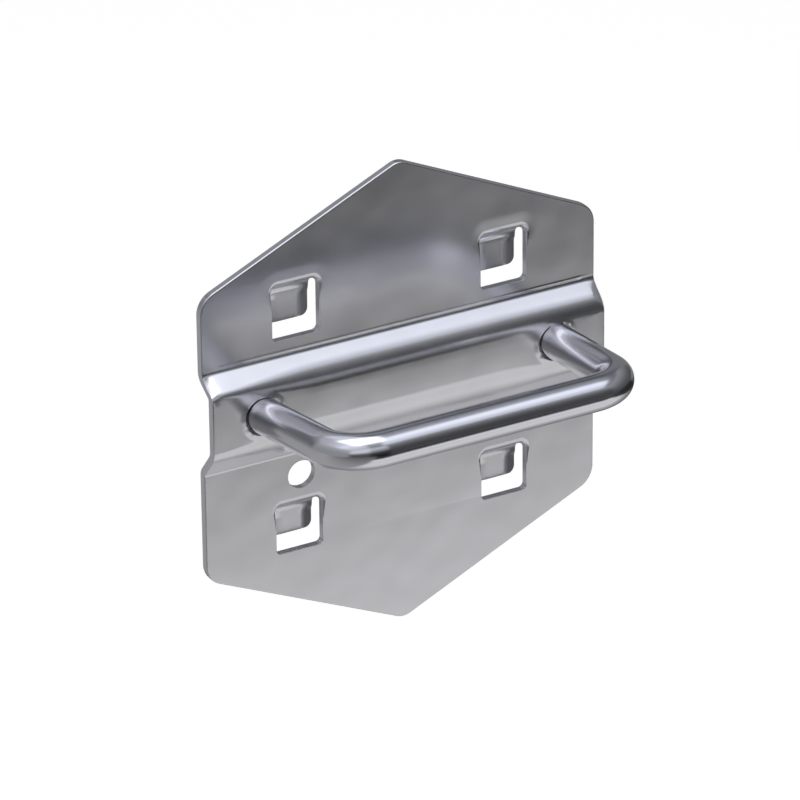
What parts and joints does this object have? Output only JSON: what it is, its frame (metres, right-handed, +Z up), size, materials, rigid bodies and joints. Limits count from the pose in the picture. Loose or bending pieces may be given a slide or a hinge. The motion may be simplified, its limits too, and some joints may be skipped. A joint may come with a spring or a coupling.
{
  "type": "pegboard hook",
  "caption": "Zinc-plated sheet-steel plate with a raised band and lanced panel hooks, carrying a bow of bent round rod that tools hang from or slide into.",
  "frame": {"origin": "centre of the square of four hooks, on the plate's back plane, which lies on the panel's front", "axes": "+Z up along the panel, +X to the right seen from the front, +Y into the panel; the bow stands out towards -Y"},
  "size_m": [0.072, 0.0359, 0.0814],
  "materials": {
    "zinc_plated_sheet": "smooth cold-rolled sheet, bright zinc plating, satin gloss",
    "zinc_plated_rod": "drawn round rod, bright zinc plating, glossy"
  },
  "bodies": {
    "root": {"back_plate": "zinc_plated_sheet", "tool_bow": "zinc_plated_rod"}
  },
  "joints": []
}
